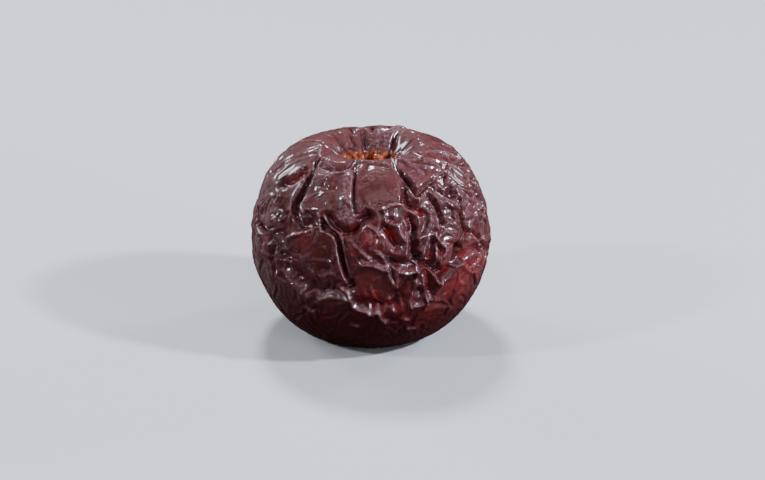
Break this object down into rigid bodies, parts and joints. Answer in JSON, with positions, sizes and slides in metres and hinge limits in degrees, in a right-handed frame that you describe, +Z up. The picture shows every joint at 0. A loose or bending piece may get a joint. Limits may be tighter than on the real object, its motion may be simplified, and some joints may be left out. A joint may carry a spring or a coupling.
{
  "type": "dried cherry",
  "caption": "Whole dried cherry with deeply wrinkled skin, an open stalk cavity with a fibrous scar, and a flattened foot that it rests on.",
  "frame": {"origin": "centre of the flattened foot ring that the fruit rests on", "axes": "+Z up through the stalk cavity, +X across the widest part, -Y towards the side with the deep S-shaped crease"},
  "size_m": [0.022, 0.0214, 0.0182],
  "materials": {
    "skin": "satin, wrinkled dried fruit skin"
  },
  "bodies": {
    "root": {"dried_cherry": "skin"}
  },
  "joints": []
}
